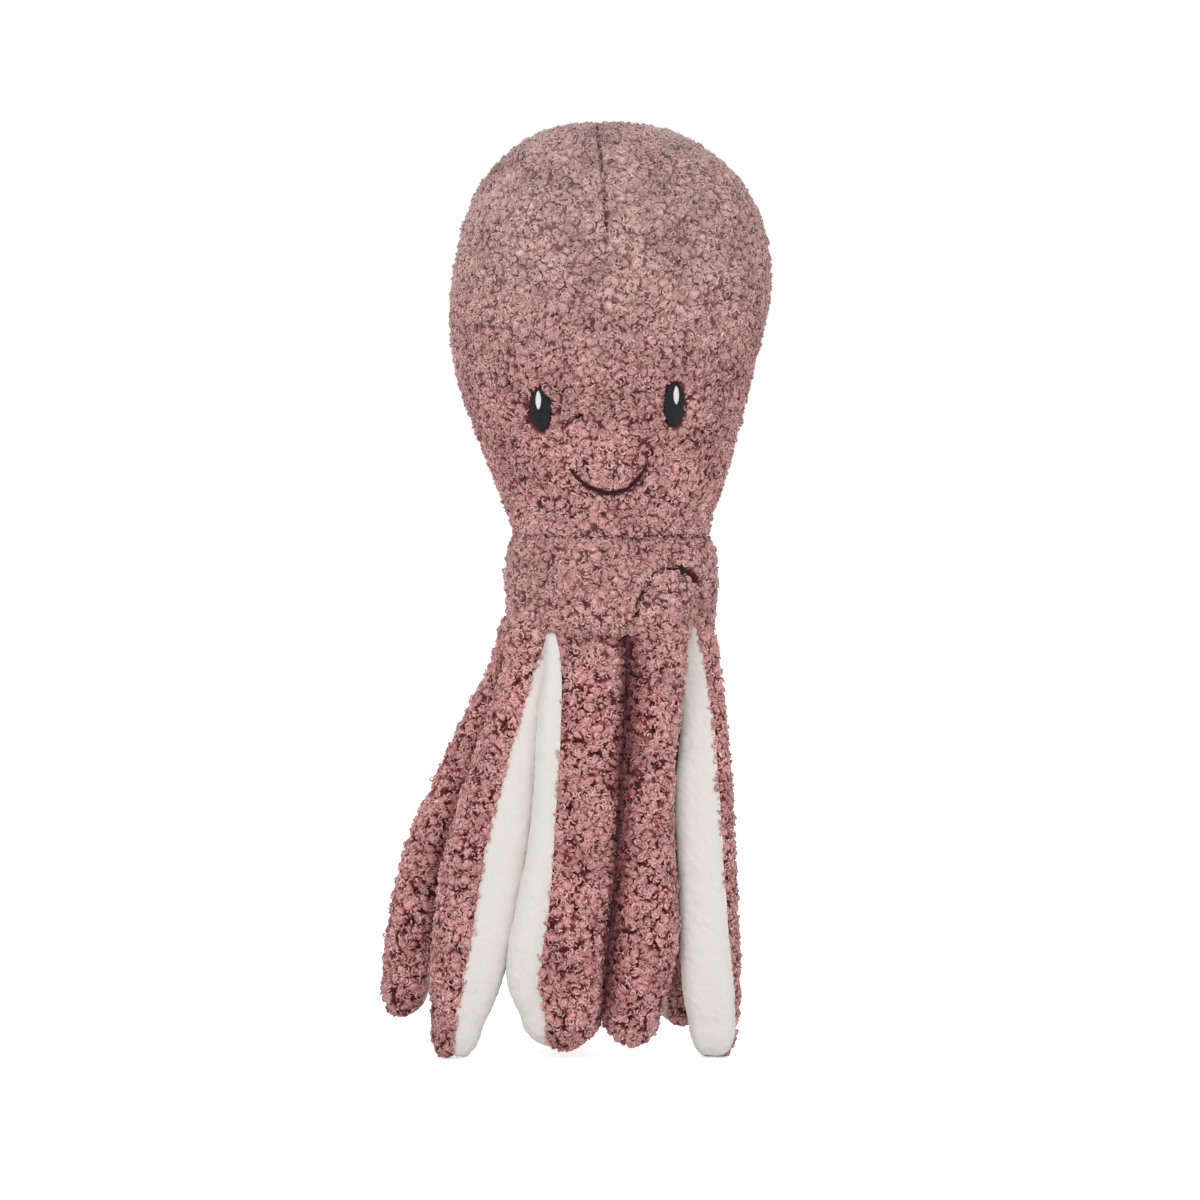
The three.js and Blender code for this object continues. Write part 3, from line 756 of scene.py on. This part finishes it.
# Arms, by the sizes of the model. Turns are the ways that undersides face, in degrees.
ARM_LEAN, ARM_SPLAY, ROOT_RADIUS, ARM_BREADTH, ARM_THICK = 42.0, 12.0, 9.8, 17.0, 12.0
ROOT_HEIGHT, TIP_REACH = 142.0, 12.0
ROOTS_MID, ROOTS_WIDE, ROOTS_DEEP = 12.12, 38.5, 31  # the oval that the roots are placed by
HIGH_SHARES = np.array([1, 0.833, 0.667, 0.5, 0.333, 0.18, 0.083])
THICK_SHARES = [0.87, 0.94, 1, 1, 0.96, 0.8]
ARMS = {
    "front_centre": dict(
        radius=0.939, root_breadth=0.8, breadth=1.0, thick=1.0, root=(-0.203, -0.645),
        lean=[0, -0.036, -0.067, -0.11, -0.183, -0.257, -0.257],
        splay=[0, -0.083, -0.125, -0.167, -0.208, -0.25, -0.25],
        breadths=[0.88, 0.865, 0.9, 0.95, 1, 0.79],
        turns=[240, 218, 216, 208, 205], short=1, raise_tip=3.8),
    "front_left": dict(
        radius=0.857, breadth=0.9, thick=0.958, root=(-0.766, -0.323),
        lean=[0, -0.131, -0.24, -0.352, -0.442, -0.536, -0.595],
        splay=[0, -0.25, -0.417, -0.583, -0.708, -0.792, -0.833],
        breadths=[0.66, 0.863, 1, 0.99, 0.837, 0.62],
        turns=[-48, -24, -6, 0, 0, 0]),
    "front_right": dict(
        radius=1.0, breadth=0.682, thick=0.917, rise=12, root=(0.442, -0.63),
        lean=[0, -0.024, -0.079, -0.086, -0.098, -0.138, -0.183],
        splay=[0, -0.083, -0.167, -0.208, -0.25, -0.292, -0.292],
        breadths=[0.845, 0.785, 0.853, 0.99, 1, 0.86],
        turns=[270, 270, 270], short=1, raise_tip=5.0),
    "back_centre": dict(
        radius=0.878, breadth=0.676, thick=0.917, root=(0.26, 0.645),
        lean=[0, -0.107, -0.226, -0.345, -0.464, -0.56, -0.595],
        splay=[0, 0.042, 0.042, 0, 0, 0, 0],
        breadths=[0.87, 0.957, 1, 1, 0.913, 0.74],
        turns=[100, 100, 100]),
    "right": dict(
        radius=0.837, breadth=0.647, thick=0.917, root=(0.831, -0.226),
        lean=[0, 0.048, 0.048, 0.071, 0.095, 0.114, 0.129],
        splay=[0, -0.167, -0.417, -0.583, -0.75, -0.875, -0.917],
        breadths=[0.8, 1, 0.99, 1, 0.99, 0.82],
        turns=[174, 168, 164, 160, 156, 154, 150, 140, 112]),
    "back_left": dict(
        radius=0.878, breadth=0.606, thick=0.858, root=(-0.312, 0.645),
        lean=[0, -0.214, -0.452, -0.69, -0.893, -1.024, -1.048],
        splay=[0, 0, -0.042, -0.083, -0.125, -0.167, -0.167],
        breadths=[0.92, 0.97, 1, 1, 0.95, 0.8],
        turns=[75, 75, 75]),
    "far_left": dict(
        radius=0.867, breadth=0.582, thick=0.833, lift=14, root=(-0.805, 0.258),
        lean=[0, -0.274, -0.524, -0.75, -0.881, -0.96, -1],
        splay=[0, 0, -0.125, -0.333, -0.5, -0.625, -0.667],
        breadths=[0.91, 0.94, 1, 0.99, 0.98, 0.89],
        turns=[-37, -60, -66]),
    "back_right": dict(
        radius=0.837, breadth=0.588, thick=0.833, lift=10, root=(0.779, 0.355),
        lean=[0, -0.024, -0.06, -0.088, -0.107, -0.119, -0.124],
        splay=[0, 0.042, 0.083, 0.083, 0.083, 0.083, 0.083],
        breadths=[0.9, 0.96, 1, 1, 0.98, 0.86],
        turns=[217, 217, 217]),
}
SHOULDERS = {  # the sewn-on top of an arm, past its root: offset, half sizes and rounding in mm
    "front_centre": ((0.6, 3.2, 11.0), 14.2, 8.4, 6.0),
    "front_left": ((-0.6, -2.0, 10.0), 9.4, 8.0, 6.5),
    "front_right": ((4.2, -2.4, 13.0), 8.6, 8.6, 8.0),
    "right": ((-1.6, -2.2, 13.0), 7.8, 9.0, 9.5),
    "far_left": ((-1.0, -2.0, 8.0), 7.6, 8.0, 8.0),
    "back_centre": ((-0.5, 2.2, 11.0), 9.4, 8.6, 8.0),
    "back_left": ((0.6, 2.2, 11.0), 9.4, 8.6, 8.0),
    "back_right": ((-1.6, -0.6, 11.0), 8.0, 8.8, 8.0),
}
PADS = {  # fuller sides: the way they face in degrees, then heights and amounts in mm
    "front_centre": [
        (180, (12, 27, 40, 56, 73, 100, 145), (0.0, 1.6, 3.2, 3.2, 2.6, 2.4, 2.2)),
        (0, (4, 9, 14, 22, 30, 60, 120, 156), (0.4, 2.2, 2.8, 2.2, 1.4, 1.5, 1.6, 2.0))],
    "front_left": [(60, (60, 96, 120, 160), (0.0, 1.4, 2.6, 2.6))],
    "front_right": [
        (180, (5, 10, 15, 22, 30, 60, 120, 156), (0.4, 2.2, 2.8, 2.2, 1.4, 1.5, 1.6, 2.0)),
        (0, (12, 30, 42, 56, 78, 92, 100, 110, 128, 140, 152),
         (0.0, 0.2, 1.8, 1.2, 0.7, 1.0, 1.8, 0.4, 1.4, 2.0, 2.6))],
    "far_left": [
        (180, (14, 60, 90, 100, 119, 130, 136, 143, 152),
         (0.8, 0.4, -0.6, 0.0, 0.9, 1.0, 2.0, 3.4, 1.0))],
}
ARM_STEPS = 400  # points that measure an arm's length
SURVEY_SPACING = 2.0  # of the sections that tell how near other arms lie
CAP_END = 88  # the round ends run to this angle, in degrees
QUARTER_ARC = 1.57  # a round end's length, as a share of its reach


def root_place(name):
    """The middle of an arm's root in mm, where its hinge is."""
    x, y = ARMS[name]["root"]
    height = ROOT_HEIGHT + ARMS[name].get("rise", 0)
    return np.array((ROOTS_MID + x * ROOTS_WIDE, y * ROOTS_DEEP, height))


def arm_sections(name, spacing):
    """Evenly spaced sections with both round ends: middles, directions, half sizes, turns."""
    arm, root = ARMS[name], root_place(name)
    tip = TIP_REACH + arm.get("lift", 0) + arm.get("raise_tip", 0)
    share = (HIGH_SHARES - HIGH_SHARES[-1]) / (1 - HIGH_SHARES[-1])
    rows = np.stack([root[0] + ARM_LEAN * np.array(arm["lean"]),
                     root[1] + ARM_SPLAY * np.array(arm["splay"]),
                     tip + (root[2] - tip) * share], 1)
    radius = arm["radius"] * ROOT_RADIUS
    offset, top_wide, top_deep, top_reach = SHOULDERS[name]
    rows = np.vstack([rows[0] + np.array(offset), rows])
    widths = [top_wide, arm.get("root_breadth", radius / ARM_BREADTH) * ARM_BREADTH]
    widths += [s * arm["breadth"] * ARM_BREADTH for s in arm["breadths"]]
    depths = [top_deep, radius] + [s * arm["thick"] * ARM_THICK for s in THICK_SHARES]
    shares = np.linspace(0, 1, ARM_STEPS)
    path = curve(rows, shares)
    length = lengths(path)
    body = np.interp(np.linspace(0, length[-1], int(length[-1] / spacing)), length, shares)
    tip_reach = TIP_REACH - arm.get("short", 0)
    tops = np.linspace(-CAP_END, 0, int(top_reach * QUARTER_ARC / spacing), endpoint=False)
    tips = np.linspace(0, CAP_END, int(tip_reach * QUARTER_ARC / spacing) + 1)[1:]
    t = np.concatenate([0 * tops, body, 0 * tips + 1])
    cap = np.radians(np.concatenate([tops, 0 * body, tips]))
    reach = np.where(cap < 0, top_reach, tip_reach)
    slope = unit(np.gradient(path, axis=0))
    down = unit(np.stack([np.interp(t, shares, slope[:, k]) for k in range(3)], 1))
    front = unit(np.cross(down, (1.0, 0, 0)))
    return dict(middle=curve(rows, t) + (reach * np.sin(cap))[:, None] * down,
                across=np.cross(front, down), front=front, squeeze=np.cos(cap),
                wide=curve(widths, t)[:, 0], deep=curve(depths, t)[:, 0],
                turn=curve(arm["turns"], t)[:, 0])


def section_at(points, s, margin):
    """An arm's middle and half sizes at points' heights, and where it reaches those heights."""
    order = np.argsort(s["middle"][:, 2])
    heights = s["middle"][order, 2]
    z = points[..., 2]
    halves = [s[k] * s["squeeze"] + margin for k in ("wide", "deep")]
    x, y, wide, deep = (np.interp(z, heights, v[order])
                        for v in (s["middle"][:, 0], s["middle"][:, 1], *halves))
    return x, y, wide, deep, (z > heights[0]) & (z < heights[-1])


def press_clear(points, others):
    """Moves points out of the arms that lie there, as soft arms press flat on each other."""
    for s, margin in others:
        cx, cy, wide, deep, there = section_at(points, s, margin)
        dx, dy = points[..., 0] - cx, points[..., 1] - cy
        q = np.sqrt((dx / wide) ** 2 + (dy / deep) ** 2)
        push = np.where(there & (q < 1), 1 / np.maximum(q, 0.2), 1)
        points[..., 0], points[..., 1] = cx + dx * push, cy + dy * push
    return points


BOXY, WHITE_BOXY = 2.2, 4.0  # powers of the sections' rounding, where 2 is an ellipse
FLOOR_CLEAR = 1.2  # from LOW_Z to the lowest of an arm's skin, under its pile


def arm_ring(name, s, angle, shrink, boxy):
    """Points round an arm's sections at given angles."""
    full = (np.abs(np.cos(angle)) ** boxy + np.abs(np.sin(angle)) ** boxy) ** (-1 / boxy)
    pad = 0 * angle
    for way, heights, amounts in PADS.get(name, ()):
        amount = np.interp(s["middle"][:, 2], heights, amounts)[:, None]
        pad = pad + amount * np.clip(np.cos(angle - math.radians(way)), 0, 1)
    wide, deep = (((s[k] - shrink)[:, None] + pad) * s["squeeze"][:, None] * full
                  for k in ("wide", "deep"))
    return (s["middle"][:, None] + (wide * np.cos(angle))[..., None] * s["across"][:, None]
            + (deep * np.sin(angle))[..., None] * s["front"][:, None])


def half_skin(name, s, way, spacing, shrink, tuck, others, boxy):
    """Half of an arm's skin, which runs on under the other half, and its distance to the seams.

    way is 0 for the underside and 180 for the outer half.
    """
    girth = (s["wide"] + s["deep"]) / 2
    sides = int(math.pi * girth.max() / spacing) + 1
    spread = np.linspace(-1, 1, sides)[None, :]
    half = 90 + np.degrees(tuck / girth)[:, None]
    angle = np.radians(s["turn"][:, None] + way + spread * half)
    grid = press_clear(arm_ring(name, s, angle, shrink, boxy), others)
    grid[..., 2] = np.maximum(grid[..., 2], FLOOR_CLEAR + LOW_Z)
    edge = (1 - np.abs(spread)) * np.radians(half) * (girth * s["squeeze"])[:, None]
    return Skin(grid, False), edge


# How far an arm is kept off one laid before it, in mm. Below 0 they press into each other.
GAPS = {("front_left", "front_centre"): -2.4, ("right", "front_right"): -2.0}
USUAL_GAP = -1.3
FLUSH = {frozenset(pair) for pair in GAPS}  # no dark groove between these
# From how far off another arm paints shade on the yarn, and over how much of that, in mm
SHADE_REACH = {"far_left": (8.8, 5.2), "front_left": (8.6, 6.0), "front_right": (8.6, 6.6)}
USUAL_SHADE_REACH = (6.2, 4.4)
PRESS_REACH = 2.2  # from how far off another arm presses the pile
PRESS_LIFT, PRESS_SHARE = 0.3, 0.6  # its cloth is lifted a little there, and its tufts are flatter


def nearness(points, name, every):
    """From 0 to 1, how much other arms close by press the pile, and how much painted shade its
    groove gets.
    """
    near, dark = np.zeros(points.shape[:2]), np.zeros(points.shape[:2])
    reach, fade = SHADE_REACH.get(name, USUAL_SHADE_REACH)
    for other, s in every.items():
        if other == name or frozenset((name, other)) in FLUSH:
            continue
        cx, cy, wide, deep, there = section_at(points, s, 0.1)
        q = np.hypot((points[..., 0] - cx) / wide, (points[..., 1] - cy) / deep)
        away = (q - 1) * np.minimum(wide, deep)
        near = np.maximum(near, there * near_to(away, PRESS_REACH, PRESS_REACH))
        dark = np.maximum(dark, there * near_to(away, reach, fade))
    return near, dark


UNDERSIDE_TOPS = {"right": 156.0, "front_right": 147.0}  # above this the plush sinks into the arm
USUAL_UNDERSIDE_TOP = 152.0
TOP_SINK, TOP_FADE = 4.0, 5.0
PLUSH_DEPTH, PLUSH_RISE = 1.2, 1.1
PILE_TUCK, PLUSH_TUCK = 0.6, 1.8  # how far past the seam each half runs on
PILE_ROLL, PILE_ROLL_WIDTH, PLUSH_ROLL_WIDTH = 1.5, 2.4, 3.2  # how the halves roll in at the seams


def make_arm(name, number, laid, every):
    """An arm's two halves, pressed clear of the arms laid before it."""
    others = [(s, GAPS.get((name, other), USUAL_GAP)) for other, s in laid.items()]
    laid[name] = arm_sections(name, ARM_FINE)
    skin, edge = half_skin(name, laid[name], 180, ARM_FINE, PILE_DEPTH, PILE_TUCK, others, BOXY)
    roll = PILE_ROLL * (1 - smooth(edge / PILE_ROLL_WIDTH))
    # painted shade on the pile where other arms lie close
    near, dark = nearness(skin.grid, name, every)
    cloth = pile_skin(skin, roll - PILE_LIFT - PRESS_LIFT * near, PRESS_SHARE * near,
                      FIRST_ARM_SEED + number, [(False, skin.grid[-1].mean(0))], dark)
    outer = cloth.make(f"arm_{name}_pile", ROSE)
    skin, edge = half_skin(name, arm_sections(name, PLUSH_FINE), 0, PLUSH_FINE, PLUSH_DEPTH,
                           PLUSH_TUCK, others, WHITE_BOXY)
    height, tone = (v.reshape(edge.shape) for v in plush(skin.flat()))
    top = UNDERSIDE_TOPS.get(name, USUAL_UNDERSIDE_TOP)
    sink = TOP_SINK * smooth((skin.grid[..., 2] - top) / TOP_FADE)
    rise = PLUSH_RISE * height - PLUSH_RISE * (1 - smooth(edge / PLUSH_ROLL_WIDTH)) - sink
    grid = skin.grid + rise[..., None] * skin.normals()
    grid[..., 2] = np.maximum(grid[..., 2], LOW_Z)
    cloth = Cloth()
    base_cloth(cloth, Skin(grid, False), [(False, grid[-1].mean(0))], height, tone, skin.grid)
    return outer, cloth.make(f"arm_{name}_plush", WHITE)


FILL_SIDES, FILL_LOW_Z = 26, 4.5
LUMP_SIZE, LUMP_SEED = 9.0, 41


def filling(name, skin, poles, rough):
    """Loose fibre filling: a lumpy closed form inside a cover."""
    lumps = noise3(skin.flat(), LUMP_SIZE, LUMP_SEED)[:, 0].reshape(skin.grid.shape[:2])
    grid = skin.grid + (rough * lumps - rough)[..., None] * skin.normals()
    cloth = Cloth()
    # painted shade in the filling's hollows
    base_cloth(cloth, Skin(grid, skin.closed), poles, 0.5 + 0.5 * lumps, 0 * lumps, skin.grid)
    return cloth.make(name, FIBRE)


def body_filling(name, rows, depth_share, rings, poles):
    """The head's or the torso's filling, from some of the rings of its outline."""
    skin = turned(rows, depth_share, COARSE, FILL_DEPTH)
    skin.grid = skin.grid[rings]
    return filling(name, skin, poles, 1.0)


def arm_filling(name):
    s = arm_sections(name, COARSE)
    angle = np.linspace(0, 2 * math.pi, FILL_SIDES, endpoint=False)
    angle = np.broadcast_to(angle, (len(s["turn"]), FILL_SIDES))
    grid = arm_ring(name, s, angle, ARM_FILL_DEPTH, BOXY)
    grid[..., 2] = np.maximum(grid[..., 2], FILL_LOW_Z)
    poles = [(True, grid[0].mean(0)), (False, grid[-1].mean(0))]
    return filling(f"arm_{name}_fill", Skin(grid, True), poles, 0.8)


PANEL_WIDE, PANEL_DEEP, PANEL_MID_Z = 31, 25, 151.6
PANEL_RISE, PANEL_DISH = 1.0, 1.2  # of its plush, and of its rim over its middle
PANEL_RINGS, PANEL_SIDES = 49, 160


def make_panel():
    """The plush panel that closes the torso between the arms."""
    share, angle = disc(PANEL_RINGS, PANEL_SIDES)
    x = CROWN_MID + PANEL_WIDE * share * np.cos(angle)
    y = PANEL_DEEP * share * np.sin(angle)
    flat = np.stack([x, y, HEM_Z + 0 * x], -1)
    height, tone = (v.reshape(x.shape) for v in plush(flat.reshape(-1, 3)))
    grid = flat.copy()
    grid[..., 2] += -PANEL_RISE * height + PANEL_DISH * share**6
    cloth = Cloth()
    base_cloth(cloth, Skin(grid, True), [pole(True, PANEL_MID_Z)], height, tone, flat)
    return cloth.make("base_plush", WHITE)


# What each piece stands for and moves with
def join(piece, body, slot, *nodes):
    """A stuffed piece."""
    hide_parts(*nodes)
    if body:
        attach(piece, body)


def stitch(piece, node_name):
    """A stitched piece of the face."""
    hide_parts(node_name)
    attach(piece, "head")


join(make_head(), "head", "rose_boucle", "head_cover_front", "head_cover_back")
torso_cover = make_torso()
join(torso_cover, None, "rose_boucle", "torso_cover_front", "torso_cover_back")
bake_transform(torso_cover)
head_fill = body_filling("head_fill", HEAD_ROWS, HEAD_DEPTH_SHARE, slice(3, -5),
                         [pole(True, 330.5, -1.2), pole(False, 196.0)])
join(head_fill, "head", "fibre_filling", "head_stuffing")
torso_fill = body_filling("torso_fill", TORSO_ROWS, TORSO_DEPTH_SHARE, slice(None),
                          [pole(True, 181.0), pole(False, 155.0)])
join(torso_fill, "torso", "fibre_filling", "torso_stuffing")
join(make_panel(), "torso", "white_plush", "base_panel")

for spot in EYES:
    side, cx, cz, _, _, lean = spot
    glint = (side, cx - math.copysign(GLINT_SHIFT, lean), cz + GLINT_RISE, *GLINT_HALVES, 0.0)
    oval = make_oval(f"eye_{side}_stitches", spot, BLACK,
                     out=-0.3, thick=1.3, pitch=0.42, pointed=0)
    stitch(oval, f"eye_{side}")
    shine = make_oval(f"eye_{side}_glint", glint, PALE,
                      out=0.7, thick=0.7, pitch=0.4, pointed=0.35)
    stitch(shine, f"eye_{side}_highlight")
stitch(make_mouth(), "mouth_stitch")

laid = {}
every = {name: arm_sections(name, SURVEY_SPACING) for name in ARMS}
for number, name in enumerate(ARMS):
    outer, under = make_arm(name, number, laid, every)
    inner = arm_filling(name)
    for piece, slot, node_name in ((outer, "rose_boucle", "outer"),
                                   (under, "white_plush", "underside"),
                                   (inner, "fibre_filling", "stuffing")):
        join(piece, None, slot, f"arm_{name}_{node_name}")
        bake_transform(piece)


# Studio: pale floor, white behind, large soft lamps in front and behind
FLOOR_GREY, FLOOR_GLOW = 0.85, 0.6
WORLD_LIGHT = 0.68  # what the white behind sheds on the toy, where the camera sees 1
LAMP_AIM = (0.01, 0, 0.17)
LAMPS = [  # place and size in m, power in W
    ((-0.5, -1.45, 0.95), 1.1, 10.4),
    ((0.9, -1.2, 0.3), 0.9, 3.1),
    ((0.3, 1.6, 0.9), 1.1, 9.0),
]


def only_seen(tree):
    """1 for rays that show the background itself, to 0 for those that light the object."""
    path = node(tree, "ShaderNodeLightPath")
    rays = [path.outputs[f"Is {kind} Ray"] for kind in ("Camera", "Glossy", "Transmission")]
    direct = node(tree, "ShaderNodeMath", [(0, rays[0]), (1, rays[1])], operation="ADD")
    seen = node(tree, "ShaderNodeMath", [(0, direct.outputs[0]), (1, rays[2])],
                operation="ADD", use_clamp=True)
    return seen.outputs[0]


def add_floor():
    bpy.ops.mesh.primitive_plane_add(size=8, location=(0, 2, 0))
    floor = bpy.context.object
    floor.name = "floor"
    made, tree, shader = material("floor")
    set_sockets(shader, Base_Color=(*grey(FLOOR_GREY), 1), Roughness=0.9,
                Emission_Color=(1, 1, 1, 1))
    glow = node(tree, "ShaderNodeMath", [(0, only_seen(tree))], operation="MULTIPLY")
    glow.inputs[1].default_value = FLOOR_GLOW
    tree.links.new(glow.outputs[0], shader.inputs["Emission Strength"])
    floor.data.materials.append(made)


def add_lights():
    world = bpy.data.worlds.new("studio")
    bpy.context.scene.world = world
    world.use_nodes = True
    tree = world.node_tree
    back = tree.nodes["Background"]
    back.inputs["Color"].default_value = (1, 1, 1, 1)
    strength = node(tree, "ShaderNodeMapRange", [("Value", only_seen(tree))])
    strength.inputs["To Min"].default_value = WORLD_LIGHT
    strength.inputs["To Max"].default_value = 1.0
    tree.links.new(strength.outputs["Result"], back.inputs["Strength"])
    for place, size, power in LAMPS:
        lamp = bpy.data.objects.new("softbox", bpy.data.lights.new("softbox", "AREA"))
        bpy.context.scene.collection.objects.link(lamp)
        lamp.data.size, lamp.data.energy = size, power
        lamp.location = place
        lamp.rotation_euler = (Vector(LAMP_AIM) - Vector(place)).to_track_quat("-Z", "Y").to_euler()


add_floor()
add_lights()
bpy.context.scene.view_settings.view_transform = "Standard"
